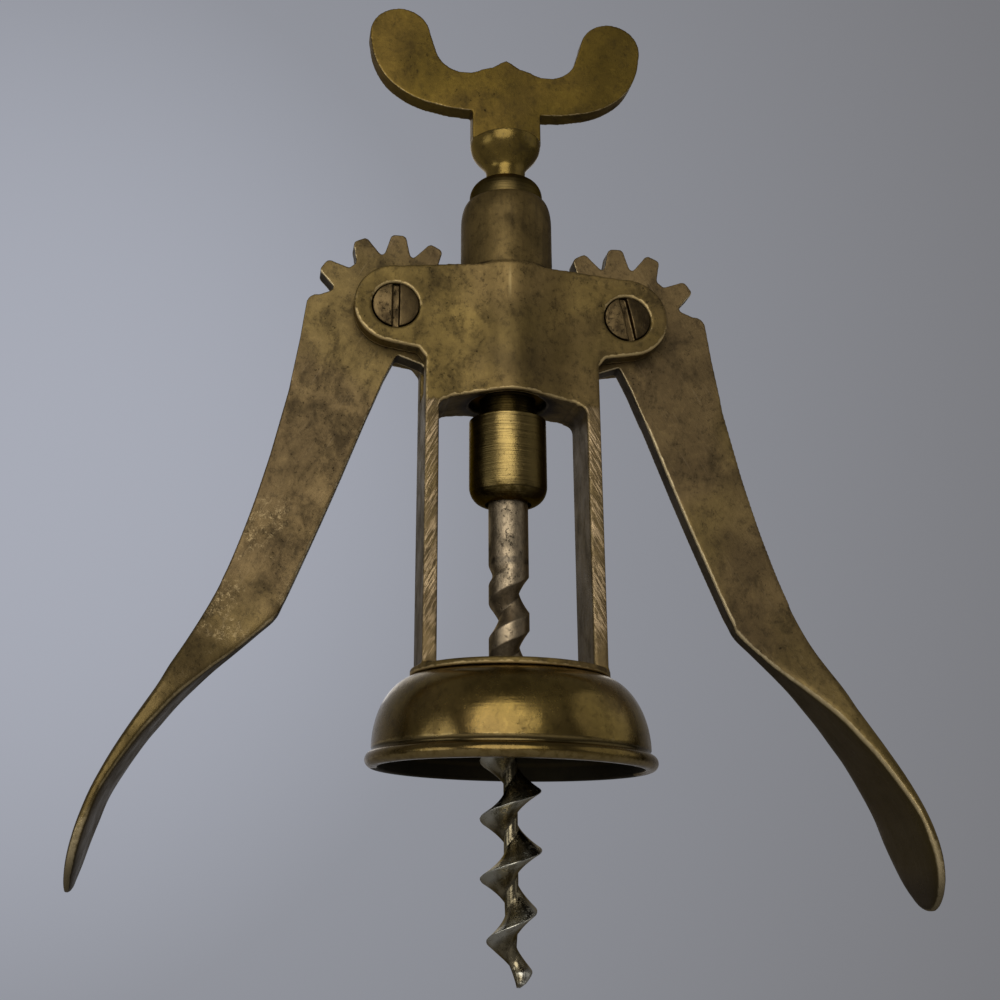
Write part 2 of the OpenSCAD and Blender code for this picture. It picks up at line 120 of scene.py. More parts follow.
def face_out(mesh):
    """Turns a closed mesh's faces outwards when its signed volume is negative."""
    mesh.calc_loop_triangles()
    tri = np.empty(len(mesh.loop_triangles) * 3, int)
    mesh.loop_triangles.foreach_get("vertices", tri)
    a, b, c = points_of(mesh)[tri.reshape(-1, 3).T]
    if np.einsum("ij,ij->i", a, np.cross(b, c)).sum() < 0:
        mesh.flip_normals()


def new_object(name, verts, faces):
    """A mesh object at the origin from points in millimetres."""
    mesh = bpy.data.meshes.new(name)
    mesh.from_pydata([tuple(c * MM for c in v) for v in verts], [], faces)
    mesh.validate()
    obj = bpy.data.objects.new(name, mesh)
    bpy.context.scene.collection.objects.link(obj)
    return obj


def loft(name, rings, closed=False):
    """A solid through rings of equally many points, with flat ends unless it is closed."""
    n, size = len(rings), len(rings[0])
    faces = [] if closed else [tuple(range(size - 1, -1, -1)),
                               tuple(range((n - 1) * size, n * size))]
    for i in range(n if closed else n - 1):
        here, on = i * size, (i + 1) % n * size
        faces += [(here + j, here + (j + 1) % size, on + (j + 1) % size, on + j)
                  for j in range(size)]
    obj = new_object(name, np.concatenate(rings).tolist(), faces)
    face_out(obj.data)
    return obj


def lathe(name, profile, segments=192):
    """A closed (radius, z) outline turned about Z."""
    angles = [2 * math.pi * s / segments for s in range(segments)]
    return loft(name, [[(r * math.cos(a), r * math.sin(a), z) for r, z in profile]
                       for a in angles], closed=True)


def applied(obj):
    """Swaps a mesh for its evaluated copy, so that no modifier is left."""
    bpy.context.view_layer.update()
    graph = bpy.context.evaluated_depsgraph_get()
    done = bpy.data.meshes.new_from_object(obj.evaluated_get(graph))
    obj.modifiers.clear()
    old = obj.data
    obj.data = done
    done.name = obj.name
    bpy.data.meshes.remove(old)
    return obj


def cast(name, parts, voxel, rounds, keep=1.0):
    """One casting from closed solids that overlap, its edges softened as by casting and use.
    Solids made only for it are used up; CAD nodes stay."""
    joined = bmesh.new()
    for part in parts:
        joined.from_mesh(part.data)
        if part.name not in cad:
            bpy.data.objects.remove(part)
    obj = bpy.data.objects.new(name, bpy.data.meshes.new(name))
    joined.to_mesh(obj.data)
    joined.free()
    bpy.context.scene.collection.objects.link(obj)
    weld = obj.modifiers.new("weld", "WELD")
    weld.merge_threshold = 1e-6
    remesh = obj.modifiers.new("remesh", "REMESH")
    remesh.mode = "VOXEL"
    remesh.voxel_size = voxel * MM
    smooth = obj.modifiers.new("smooth", "SMOOTH")
    smooth.factor = 0.5
    smooth.iterations = rounds
    if keep < 1:
        thin = obj.modifiers.new("thin", "DECIMATE")
        thin.ratio = keep
    return applied(obj)


# ---------------------------------------------------- marks on the points

# edges that face this way, down and a little to the left and the front, are rubbed bright and
# catch the light: their brightness is kept to them as a painted highlight
WORN_AND_LIT_WAY = (-0.15, -0.2, -0.97)


def store(obj, name, values):
    """Writes one number for each point, for the material to read."""
    layer = obj.data.attributes.new(name, "FLOAT", "POINT")
    layer.data.foreach_set("value", values.astype(np.float32))


def averaged(values, edges, counts, rounds):
    """Each point's values drawn toward its neighbours' mean, a number of times."""
    ends, others = np.concatenate([edges, edges[:, ::-1]]).T
    for _ in range(rounds):
        total = np.stack([np.bincount(ends, column[others], len(values))
                          for column in values.T], 1)
        values = 0.5 * values + 0.5 * total / counts
    return values


def mark_wear_and_highlight(obj, rounds=12, full=0.08, away=0.0):
    """Stores how far each point stands out of its surroundings, 1 at `full` millimetres and
    below 0 in hollows. What stands out but faces away from the way that edges catch the light
    (down, left and to the front) keeps only the share `away`, so that bright edges are partly a
    painted highlight."""
    mesh = obj.data
    co = points_of(mesh)
    edges, counts = web_of(mesh)
    normals = normals_of(mesh)
    out = np.einsum("ij,ij->i", normals, co - averaged(co, edges, counts, rounds))
    out = averaged(out.reshape(-1, 1), edges, counts, 2).ravel()
    way = np.array(WORN_AND_LIT_WAY) / np.linalg.norm(WORN_AND_LIT_WAY)
    facing = np.clip(normals @ way * 1.6, 0, 1)     # in full within 51 degrees of it
    # edges facing away from the light keep only the share `away` of their brightness: the rest
    # is a painted highlight on rubbed brass
    out = np.where(out > 0, out * (away + (1 - away) * facing), out)
    store(obj, "wear_and_highlight", np.clip(out / (full * MM), -1, 1))


def mark_flank(obj):
    """Stores how far each point faces along the lever's plane, for the painted shade on the
    levers' sides.
    """
    store(obj, "flank", 1 - np.clip((np.abs(normals_of(obj.data)[:, 1]) - 0.35) / 0.3, 0, 1))


def dress(obj, body, material, nodes):
    """Gives a piece its finish and its body, in place of CAD nodes."""
    obj.data.polygons.foreach_set("use_smooth", np.ones(len(obj.data.polygons), bool))
    obj.data.materials.clear()
    obj.data.materials.append(material)
    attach(obj, body)
    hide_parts(*nodes)


# ------------------------------------------------------------- materials

LIGHT = (0.218, 0.147, 0.053)
MID = (0.132, 0.089, 0.033)
DARK = (0.036, 0.025, 0.011)
GOLD = (0.62, 0.46, 0.21)
RIM = (0.5, 0.42, 0.3)  # the tint of what metal reflects at a grazing angle
FILE_LEAN = 28          # degrees from upright of the columns' file strokes
ARM_LEAN = 29           # and of the scratches along the arms
COLUMNS = (13.6, 50.8)  # the columns' span in z


class Graph:
    """Shorthand for building a material's nodes."""

    def __init__(self, name):
        self.material = bpy.data.materials.new(name)
        self.material.use_nodes = True
        self.tree = self.material.node_tree
        self.tree.nodes.clear()
        self.out = self.node("ShaderNodeOutputMaterial")
        self.shader = self.node("ShaderNodeBsdfPrincipled")
        self.tree.links.new(self.shader.outputs[0], self.out.inputs[0])
        self.place = self.node("ShaderNodeTexCoord").outputs["Object"]

    def node(self, kind, **settings):
        made = self.tree.nodes.new(kind)
        for key, value in settings.items():
            setattr(made, key, value)
        return made

    def feed(self, socket, value):
        """Links a socket to another's output, or sets it to a constant."""
        if hasattr(value, "is_output"):
            self.tree.links.new(value, socket)
        else:
            socket.default_value = value

    # numbers

    def math(self, kind, a, b=0.0, c=0.0, clamp=False):
        made = self.node("ShaderNodeMath", operation=kind, use_clamp=clamp)
        for socket, value in zip(made.inputs, (a, b, c)):
            self.feed(socket, value)
        return made.outputs[0]

    def times(self, first, *others):
        for other in others:
            first = self.math("MULTIPLY", first, other)
        return first

    def less(self, value, part, clamp=False):
        return self.math("SUBTRACT", value, part, clamp=clamp)

    def fit(self, value, low, high, to_low=0.0, to_high=1.0):
        """An eased change from to_low to to_high as the value goes from low to high."""
        made = self.node("ShaderNodeMapRange", interpolation_type="SMOOTHSTEP")
        for key, number in zip(("From Min", "From Max", "To Min", "To Max"),
                               (low, high, to_low, to_high)):
            made.inputs[key].default_value = number
        self.feed(made.inputs["Value"], value)
        return made.outputs[0]

    def past(self, value, start, end):
        """0 before start and 1 past end, which are in millimetres."""
        return self.fit(value, start * MM, end * MM)

    def inside(self, value, low, high, soft):
        """1 between two limits and 0 outside them, all in millimetres."""
        low, high, soft = low * MM, high * MM, soft * MM
        up = self.fit(value, low - soft, low + soft)
        return self.times(up, self.less(1.0, self.fit(value, high - soft, high + soft)))

    def attribute(self, name):
        return self.node("ShaderNodeAttribute", attribute_name=name).outputs["Fac"]

    # places and patterns

    def xyz(self):
        made = self.node("ShaderNodeSeparateXYZ")
        self.feed(made.inputs[0], self.place)
        return made.outputs

    def reach(self):
        """The distance from the Z axis."""
        x, y, _ = self.xyz()
        return self.math("SQRT", self.math("ADD", self.times(x, x), self.times(y, y)))

    def stretched(self, scale, shift=(0, 0, 0)):
        made = self.node("ShaderNodeMapping")
        self.feed(made.inputs["Vector"], self.place)
        made.inputs["Scale"].default_value = scale
        made.inputs["Location"].default_value = shift
        return made.outputs[0]

    def mirrored(self):
        """The place with both sides of the corkscrew laid on one another."""
        x, y, z = self.xyz()
        made = self.node("ShaderNodeCombineXYZ")
        for socket, value in zip(made.inputs, (self.math("ABSOLUTE", x), y, z)):
            self.feed(socket, value)
        return made.outputs[0]

    def noise(self, scale, detail, rough, place=None, warp=0.0):
        made = self.node("ShaderNodeTexNoise")
        self.feed(made.inputs["Vector"], place or self.place)
        for key, number in (("Scale", scale), ("Detail", detail), ("Roughness", rough),
                            ("Distortion", warp)):
            made.inputs[key].default_value = number
        return made.outputs[0]

    def strokes(self, lean, fine, along, warp):
        """Fine marks that lean outwards from upright by an angle, mirrored left and right."""
        turn = self.node("ShaderNodeVectorRotate", rotation_type="Y_AXIS")
        self.feed(turn.inputs["Vector"], self.mirrored())
        turn.inputs["Angle"].default_value = math.radians(lean)
        scale = self.node("ShaderNodeVectorMath", operation="MULTIPLY")
        self.feed(scale.inputs[0], turn.outputs[0])
        scale.inputs[1].default_value = (fine, fine, along)
        return self.noise(1.0, 3, 0.6, scale.outputs[0], warp)

    # colours and the finish

    def mix(self, share, a, b, kind="MIX"):
        made = self.node("ShaderNodeMix", data_type="RGBA", blend_type=kind)
        self.feed(made.inputs[0], share)
        self.feed(made.inputs[6], (*a, 1) if isinstance(a, tuple) else a)
        self.feed(made.inputs[7], (*b, 1) if isinstance(b, tuple) else b)
        return made.outputs[2]

    def tint(self, color, mask, share, shade):
        """The colour drawn toward a shade by a share of the mask."""
        return self.mix(self.times(mask, share), color, shade)

    def scaled(self, color, factors):
        return self.mix(1.0, color, factors, "MULTIPLY")

    def bump(self, height, distance, strength, before=None):
        made = self.node("ShaderNodeBump")
        made.inputs["Strength"].default_value = strength
        made.inputs["Distance"].default_value = distance * MM
        self.feed(made.inputs["Height"], height)
        if before:
            self.feed(made.inputs["Normal"], before)
        return made.outputs[0]

    def finish(self, color, rough, normal, metallic=1.0, rim=RIM):
        self.shader.inputs["Specular Tint"].default_value = (*rim, 1)
        for key, value in (("Base Color", color), ("Roughness", rough), ("Normal", normal),
                           ("Metallic", metallic)):
            self.feed(self.shader.inputs[key], value)
        return self.material


def patinated(name, light, mid, dark, gold, marks, stain, pits, rough=(0.40, 0.62), wear_and_highlight=0.8,
              ragged=1.8, metallic=0.6, relief=0.05, rim=RIM):
    """Old brass: brown-olive patina in patches, dark stains and specks, and bright rubbed edges
    that are partly a painted highlight.
    `marks` adds what only one kind of piece shows."""
    g = Graph(name)
    patches = g.noise(75, 5, 0.62, warp=0.4)
    cloud = g.noise(260, 7, 0.68, g.stretched((1, 1, 0.75), (0.2, 0.1, 0.3)), 0.3)
    mottle = g.noise(950, 6, 0.72, g.stretched((1, 1, 0.85), (0.1, 0.5, 0.2)), 0.2)
    specks = g.noise(1900, 4, 0.65)
    grain = g.noise(5200, 3, 0.55)
    tone = g.noise(42, 3, 0.5, g.stretched((1, 1, 1), (0.7, 0.2, 0.5)), 0.3)
    color = g.mix(g.fit(patches, 0.40, 0.64), mid, light)
    color = g.mix(g.fit(tone, 0.42, 0.60), color, g.scaled(color, (0.98, 1.0, 0.84)))
    color = g.tint(color, g.fit(cloud, 0.48, 0.72), stain, dark)
    color = g.tint(color, g.fit(mottle, 0.50, 0.68), 0.8 * stain, dark)
    color = g.tint(color, g.fit(mottle, 0.46, 0.32), 0.45, g.scaled(color, (1.5, 1.5, 1.45)))
    pit = g.times(g.fit(specks, 0.57, 0.70), g.fit(cloud, 0.42, 0.62))
    color = g.tint(color, pit, pits, tuple(0.4 * c for c in dark))
    edge = g.attribute("wear_and_highlight")
    torn = g.math("ADD", edge, g.times(g.less(mottle, 0.52), ragged))
    # bright edges: rubbed brass, with a painted highlight where they face the light
    worn_and_lit = g.times(g.fit(torn, 0.30, 0.80), g.fit(edge, 0.08, 0.3), wear_and_highlight)
    color = g.mix(worn_and_lit, color, gold)
    hollow = g.fit(g.times(edge, -1.0), 0.10, 0.75)
    color = g.tint(color, hollow, 0.8, tuple(0.25 * c for c in dark))
    gloss = g.math("ADD", g.fit(cloud, 0.3, 0.75, *rough), g.times(pit, 0.12))
    gloss = g.less(gloss, g.times(worn_and_lit, 0.08), clamp=True)
    height = g.math("ADD", g.times(grain, 0.35), g.times(specks, 0.65))
    normal = g.bump(g.less(height, g.times(pit, 0.6)), relief, 0.6)
    color, gloss, normal = marks(g, color, gloss, normal, worn_and_lit)
    return g.finish(color, gloss, normal, metallic, rim)


def frame_marks(g, color, gloss, normal, _worn_and_lit):
    """File strokes on the columns, the barrel's own darker tone, and painted light and shade on
    the hub: a highlight, a shaded middle and a shadow round the sleeve's hole.
    """
    x, y, z = g.xyz()
    # coarse diagonal strokes on the columns' front faces, and darker sides
    front = g.less(1.0, g.past(y, -4.95, -4.6))
    column = g.inside(z, *COLUMNS, 0.3)
    area = g.times(column, g.past(g.math("ABSOLUTE", x), 10.4, 10.8), front)
    strokes = g.strokes(FILE_LEAN, 3900, 330, 0.5)
    patch = g.noise(110, 3, 0.5, g.stretched((1, 1, 1), (0.03, 0, 0.011)))
    patch = g.fit(patch, 0.34, 0.50)
    color = g.tint(color, area, 0.5, (0.15, 0.108, 0.060))
    cuts = g.times(g.fit(strokes, 0.46, 0.60), area, patch)
    color = g.tint(color, cuts, 0.75, (0.60, 0.44, 0.25))
    normal = g.bump(g.times(strokes, area, patch), 0.25, 0.8, normal)
    color = g.tint(color, g.times(column, g.less(1.0, front)), 0.6, (0.055, 0.040, 0.014))
    # the barrel is darker than the hub, with upright stains
    rag = g.noise(1.0, 4, 0.6, g.stretched((900, 900, 120)))
    barrel = g.past(z, 72.2, 73.2)
    color = g.tint(color, barrel, 0.45, (0.055, 0.037, 0.010))
    color = g.tint(color, g.times(barrel, g.fit(rag, 0.50, 0.72)), 0.4, DARK)
    # a painted highlight high on the hub, where the barrel's bulge meets its front, and painted
    # shade across its middle
    highlight_streak = g.times(g.inside(x, -0.95, -0.65, 0.25), g.inside(z, 67, 71, 1.5))
    color = g.mix(g.times(highlight_streak, g.fit(rag, 0.38, 0.62, 0.1, 0.8)), color, (0.42, 0.31, 0.13))
    # painted shade across the hub's middle
    middle = g.times(g.inside(x, -4.5, 3.5, 2.2), g.inside(z, 55, 67, 2.5))
    color = g.tint(color, middle, 0.5, (0.055, 0.038, 0.015))
    # painted shadow under the hub, round the hole that the sleeve comes out of
    bore_shadow = g.times(g.past(g.reach(), 8.0, 6.2), g.past(z, 54, 52.6), g.past(y, -4.95, -4.7))
    color = g.tint(color, bore_shadow, 0.9, (0.010, 0.009, 0.006))
    return color, gloss, normal


def lever_marks(g, color, gloss, normal, worn_and_lit):
    """Scratches along the arms, painted shade on the sides, painted glints on the left arm, and
    plainer paddles with a painted highlight at their neck.
    """
    x, _, z = g.xyz()
    scratch = g.strokes(ARM_LEAN, 2600, 130, 0.1)
    color = g.tint(color, g.fit(scratch, 0.60, 0.72), 0.22, (0.28, 0.21, 0.12))
    normal = g.bump(scratch, 0.05, 0.3, normal)
    # golden flecks on the left arm: painted glints
    glint_flecks = g.times(g.fit(g.noise(1500, 8, 0.85, warp=0.6), 0.50, 0.60),
                     g.fit(g.noise(170, 4, 0.6), 0.46, 0.58),
                     g.times(g.past(x, 0, -5), g.inside(z, 12, 36, 6)))
    color = g.tint(color, glint_flecks, 0.85, (0.46, 0.34, 0.17))
    # painted shade on the levers' sides, where they face along the lever's plane
    flank = g.times(g.attribute("flank"), g.less(1.0, worn_and_lit))
    color = g.tint(color, flank, 0.75, (0.026, 0.022, 0.010))
    gloss = g.less(gloss, g.times(g.past(z, 16, 4), 0.14), clamp=True)
    # the paddles: plain and greener, dark at the tip, with a painted highlight along the crest
    # at their neck
    plain = g.times(g.past(z, 20, 0), g.less(1.0, worn_and_lit))
    color = g.tint(color, plain, 0.6, (0.078, 0.053, 0.013))
    color = g.tint(color, g.past(z, -10, -15), 0.7, (0.030, 0.022, 0.009))
    # a painted highlight along the paddles' crest
    crest_highlight = g.times(g.fit(g.attribute("wear_and_highlight"), 0.22, 0.6), g.inside(z, -10, 12, 4))
    color = g.tint(color, crest_highlight, 0.8, (0.64, 0.50, 0.26))
    return color, gloss, normal


def handle_marks(g, color, gloss, normal, _worn_and_lit):
    """The turned neck is brighter and smoother than the wings."""
    neck = g.past(g.xyz()[2], 97, 95.8)
    gloss = g.less(gloss, g.times(neck, 0.15))
    return g.mix(neck, color, g.scaled(color, (1.35, 1.4, 1.6))), gloss, normal


def sleeve_marks(g, color, gloss, normal, _worn_and_lit):
    """Rings left by the lathe, a painted highlight stripe down the front with painted shade on
    the sides, darker to the left, and a duller head.
    """
    x, _, z = g.xyz()
    ring_pitch = 0.32
    head = g.past(z, 80, 84)
    color = g.tint(color, head, 0.75, (0.085, 0.060, 0.022))
    gloss = g.math("ADD", gloss, g.times(head, 0.12))
    rings = g.noise(1.0, 2, 0.7, g.stretched((25, 25, 1 / (ring_pitch * MM))))
    # a painted highlight stripe down the front; the sides get painted shade, darker to the left
    lit_stripe = g.math("ADD", x, g.times(g.less(rings, 0.5), 6 * MM))
    lit_stripe = g.inside(lit_stripe, -2.6, 1.0, 1.4)
    shade = g.mix(g.past(x, 0, 4), (0.050, 0.036, 0.012), (0.080, 0.057, 0.019))
    color = g.tint(color, g.less(1.0, lit_stripe), 0.72, shade)
    gloss = g.math("ADD", gloss, g.times(lit_stripe, -0.04))
    color = g.tint(color, g.fit(rings, 0.52, 0.72), 0.55, DARK)
    return color, gloss, g.bump(rings, 0.12, 0.6, normal)


def bell_marks(g, color, gloss, normal, _worn_and_lit):
    """Painted shade that makes the inside nearly black, a dull groove above the rim, and rings
    left by the lathe.
    """
    shaded_inside = g.attribute("inner")
    # painted shade inside the bell
    color = g.tint(color, shaded_inside, 0.94, (0.022, 0.020, 0.014))
    gloss = g.math("ADD", gloss, g.times(shaded_inside, 0.3), clamp=True)
    color = g.tint(color, g.inside(g.xyz()[2], 2.0, 2.55, 0.18), 0.75, (0.06, 0.045, 0.02))
    rings = g.noise(1.0, 2, 0.6, g.stretched((18, 18, 2400)))
    return color, gloss, g.bump(rings, 0.03, 0.4, normal)


def steel(name, light, dark, rough, pits=0.7, tip=1.0):
    """Bare steel with dark pits and a brown bloom. With a `tip` below 1, what is under the
    bell is darker by it, brighter at its edges and glossier than the shank above."""
    g = Graph(name)
    z = g.xyz()[2]
    cloud = g.noise(420, 6, 0.66, g.stretched((1, 1, 0.6)))
    specks = g.noise(1900, 5, 0.7)
    grain = g.noise(6000, 3, 0.5)
    color = g.mix(g.fit(cloud, 0.38, 0.66), light, dark)
    low = g.past(z, 16, 2)
    color = g.mix(low, color, g.scaled(color, (tip, 1.1 * tip, 1.1 * tip)))
    pit = g.times(g.fit(specks, 0.54, 0.66), g.fit(cloud, 0.36, 0.60))
    color = g.tint(color, pit, pits, (0.035, 0.028, 0.020))
    edge = g.attribute("wear_and_highlight")
    shown = 0.7
    if tip < 1:
        shown = g.math("MULTIPLY_ADD", low, 0.7, 0.05)
        # a dark band where the groove runs out
        band = g.times(g.inside(z, 27.9, 28.8, 0.25), g.fit(cloud, 0.56, 0.40))
        color = g.tint(color, band, 0.85, (0.030, 0.024, 0.018))
    color = g.tint(color, g.fit(edge, 0.35, 0.95), shown, (0.66, 0.64, 0.54))
    hollow = g.fit(g.times(edge, -1.0), 0.15, 0.8)
    color = g.tint(color, hollow, 0.6, (0.05, 0.045, 0.035))
    gloss = g.math("ADD", g.fit(cloud, 0.3, 0.7, *rough), g.times(pit, 0.2))
    gloss = g.less(gloss, g.times(low, 0.22), clamp=True)
    return g.finish(color, gloss, g.bump(g.less(g.times(grain, 0.4), pit), 0.06, 0.7))


cast_brass = patinated("cast_brass", LIGHT, MID, DARK, GOLD,
                       frame_marks, stain=0.75, pits=0.85)
lever_brass = patinated("lever_brass", (0.208, 0.142, 0.061), (0.131, 0.089, 0.040),
                        (0.036, 0.026, 0.014), (0.60, 0.48, 0.27),
                        lever_marks, stain=0.68, pits=0.85, wear_and_highlight=1.0, ragged=1.0)
handle_brass = patinated("handle_brass", (0.187, 0.120, 0.025), (0.120, 0.078, 0.018),
                         DARK, GOLD, handle_marks, stain=0.5, pits=0.7,
                         rough=(0.34, 0.52), wear_and_highlight=0.7, metallic=0.75)
sleeve_brass = patinated("sleeve_brass", (0.165, 0.109, 0.029), (0.100, 0.066, 0.018),
                         (0.030, 0.021, 0.008), (0.62, 0.45, 0.17),
                         sleeve_marks, stain=0.35, pits=0.35,
                         rough=(0.30, 0.46), wear_and_highlight=0.35, metallic=1.0)
bell_brass = patinated("bell_brass", (0.285, 0.190, 0.062), (0.170, 0.112, 0.036),
                       (0.050, 0.033, 0.012), (0.60, 0.44, 0.18),
                       bell_marks, stain=0.5, pits=0.5, rough=(0.15, 0.34), wear_and_highlight=0.4,
                       metallic=0.95, relief=0.03, rim=(0.9, 0.87, 0.82))
worm_steel = steel("worm_steel", (0.41, 0.315, 0.195), (0.15, 0.114, 0.068), (0.36, 0.56),
                   tip=0.7)
screw_steel = steel("screw_steel", (0.112, 0.077, 0.034), (0.045, 0.031, 0.015), (0.3, 0.5),
                    pits=0.5)


# ---------------------------------------------------------------- levers

PIVOT = (17.4, 65.2)    # the right lever's pivot, x and z
ARM_T = 3.2             # the flat arm's thickness
PADDLE_W = 15           # the paddle's breadth
# the arm by stations from the pivot: outer x, z and inner x, z, then its breadth along Y as a
# share of the arm's thickness and a share of the paddle's breadth
ARM = [(13.7, -4.6, 1, -10, 1, 0), (15, -13, 3.5, -16.4, 1, 0), (17.2, -23, 6.9, -25.6, 1, 0),
       (19.3, -30.8, 9.8, -33.1, 1, 0), (21.4, -37.4, 12.4, -39.6, 1, 0),
       (22.8, -41.1, 14.1, -43.7, 1, 0), (23.9, -43.6, 15.2, -46, 0.99, 0.005),
       (25.2, -46.2, 17.5, -48.2, 0.84, 0.05), (26.3, -48.3, 20.5, -50.9, 0.56, 0.18),
       (27.5, -50.6, 23.2, -53.2, 0.25, 0.38), (29, -53.3, 25.6, -55.5, 0.08, 0.57),
       (30.3, -55.9, 27.7, -57.7, 0, 0.69), (32.1, -58.9, 29.8, -60.3, 0, 0.77),
       (33.6, -61.4, 31.6, -62.6, 0, 0.83), (35.6, -65.1, 33.9, -66.1, 0, 0.92),
       (37.4, -69, 35.9, -69.7, 0, 0.99), (38.6, -72.4, 37, -72.9, 0, 1),
       (39.4, -75.2, 37.8, -75.6, 0, 0.93), (39.9, -77.8, 38.4, -78.1, 0, 0.77),
       (40.1, -79.9, 38.9, -80.1, 0, 0.55), (40.1, -81.2, 39.2, -81.3, 0, 0.33),
       (40, -81.8, 39.6, -81.8, 0, 0.12)]
FLAT_STATIONS = 7       # the stations that the flat arm has
FLAT_ABOVE = 24         # the z above which a lever is flat
BEND_BELOW = -22        # the z from the pivot below which the outline is smoothed
BEND_FADE = 8           # the span over which that sets in
SPAN_STEPS = 8          # steps between two stations of the smooth outline


def square_arm(side):
    """The flat arm with square corners, to be merged with the lever's own solid. Its last
    section is a little smaller, to end inside that solid."""
    rings = []
    for i, (x0, z0, x1, z1, *_) in enumerate(ARM[:FLAT_STATIONS]):
        half_t, size = (1.45, 0.9) if i == FLAT_STATIONS - 1 else (ARM_T / 2, 1)
        mid = ((x0 + x1) / 2, (z0 + z1) / 2)
        rings.append([(side * (PIVOT[0] + mid[0] + (x - mid[0]) * size), y * half_t * size,
                       PIVOT[1] + mid[1] + (z - mid[1]) * size)
                      for x, z, y in ((x0, z0, -1), (x0, z0, 1), (x1, z1, 1), (x1, z1, -1))])
    return loft("square_arm", rings)


def arm_sections():
    """The arm's sections at every step, with straight spans as in the CAD and on a curve."""
    rows = np.array([(*corners, (ARM_T * a + PADDLE_W * b) / 2) for *corners, a, b in ARM])
    curved = np.array(spline(rows, SPAN_STEPS))
    at = np.arange(len(curved)) / SPAN_STEPS
    straight = np.stack([np.interp(at, np.arange(len(rows)), column) for column in rows.T], 1)
    return straight, curved


def sections_at(place):
    """The straight section through each (x, z) place, and the curved one that matches it."""
    straight, curved = arm_sections()
    outer, across = straight[:, :2], straight[:, 2:4] - straight[:, :2]
    # on which side of each section's line a place lies, and how far
    past = (across[:, 0] * (place[:, 1:] - outer[:, 1])
            - across[:, 1] * (place[:, :1] - outer[:, 0]))
    span = np.clip((past * np.sign(past[:, :1]) > 0).sum(1) - 1, 0, len(curved) - 2)
    rank = np.arange(len(span))
    before, after = past[rank, span], past[rank, span + 1]
    share = np.clip(before / (before - after), 0, 1)[:, None]
    return [rows[span] + (rows[span + 1] - rows[span]) * share for rows in (straight, curved)]


def level_arm(obj, side):
    """Planes the head and the flat arm to one thickness, so that no step shows between them,
    and bends the straight spans between the arm's stations into one smooth curve."""
    co = points_of(obj.data) / MM
    flat = co[:, 2] > FLAT_ABOVE
    co[flat, 1] = np.clip(co[flat, 1], -ARM_T / 2, ARM_T / 2)
    furthest = np.abs(co[:, 0]).max()
    place = np.stack((side * co[:, 0], co[:, 2]), 1) - np.array(PIVOT)
    chosen = np.nonzero(place[:, 1] < BEND_BELOW)[0]
    place = place[chosen]
    old, new = sections_at(place)
    across = old[:, 2:4] - old[:, :2]
    along = (((place - old[:, :2]) * across).sum(1, keepdims=True)
             / (across ** 2).sum(1, keepdims=True))
    rest = place - old[:, :2] - across * along
    moved = new[:, :2] + (new[:, 2:4] - new[:, :2]) * along + rest
    fade = np.clip((BEND_BELOW - place[:, 1:]) / BEND_FADE, 0, 1)
    place = place + fade * (moved - place) + np.array(PIVOT)
    co[chosen, 0], co[chosen, 2] = side * np.minimum(place[:, 0], furthest), place[:, 1]
    co[chosen, 1] *= 1 + fade[:, 0] * (new[:, 4] / old[:, 4] - 1)
    obj.data.vertices.foreach_set("co", (co * MM).ravel())
    obj.data.update()


# ---------------------------------------------------------------- handle

def wing_plate():
    """The handle's flat wings, with a smooth outline: a middle point, a dip, and a round lobe
    to each side."""
    half_t = 1.5
    lobe = np.array([17.3, 114.4])
    # the lower edge, from the lobe to the neck, by places from the lobe's centre
    below = [(4.73, -1.27), (4.35, -3.6), (3.4, -6.1), (1.9, -8.4), (0, -10.1), (-2, -11.3),
             (-4, -12.1), (-6.2, -12.6), (-8.3, -13), (-11.85, -13.25)]
    half = [(0, 110.9), (0.9, 110.4), (2.2, 109.5)]
    half += ellipse_arc(6.7, 113.1, 4.95, 4.95, 236, 346, 24)
    half += ellipse_arc(*lobe, 4.9, 4.9, 172, -15, 48)
    half += [tuple(lobe + p) for p in spline(below, 6)[1:]] + [(5.45, 95.6)]
    outline = half + [(-x, z) for x, z in half[:0:-1]]
    return loft("wing_plate", [[(x, y, z) for x, z in outline] for y in (-half_t, half_t)])


def handle_neck():
    """The turned neck, which flares up to the plate, with the shank's bore in it."""
    flare = [(3.05, 90.2), (3.12, 91.2), (3.5, 91.95), (4.1, 92.7), (4.78, 93.55),
             (5.27, 94.4), (5.5, 95.3), (5.58, 96.1)]
    bore = [(0.001, 95.35), (2, 95.35), (2, 89.1)]
    return lathe("neck", bore + [(3.05, 89.1)] + [tuple(p) for p in spline(flare, 4)]
                 + [(0.001, 96.1)])


# ------------------------------------------------------ bell, sleeve, worm

DOME = (12.2, 2.6)      # the centre of the bell's elliptic shoulder, radius and z
DOME_OUT = (6.7, 9.65)  # its half axes outside
DOME_IN = (5.5, 8.3)    # and inside


def bell_profile():
    outer = [(8.0, 12.25)] + ellipse_arc(*DOME, *DOME_OUT, 90, 0, 40)
    outer += [(18.72, 2.3)] + ellipse_arc(18.75, 1.0, 1.0, 1.0, 88, -90, 20)
    inner = [(18.15, 0.0), (18.0, 0.15), (17.98, 0.4), (17.96, 0.6)]
    inner += ellipse_arc(*DOME, *DOME_IN, 0, 90, 36) + [(8.0, 10.9)]
    return rounded(outer + inner, 0.15)


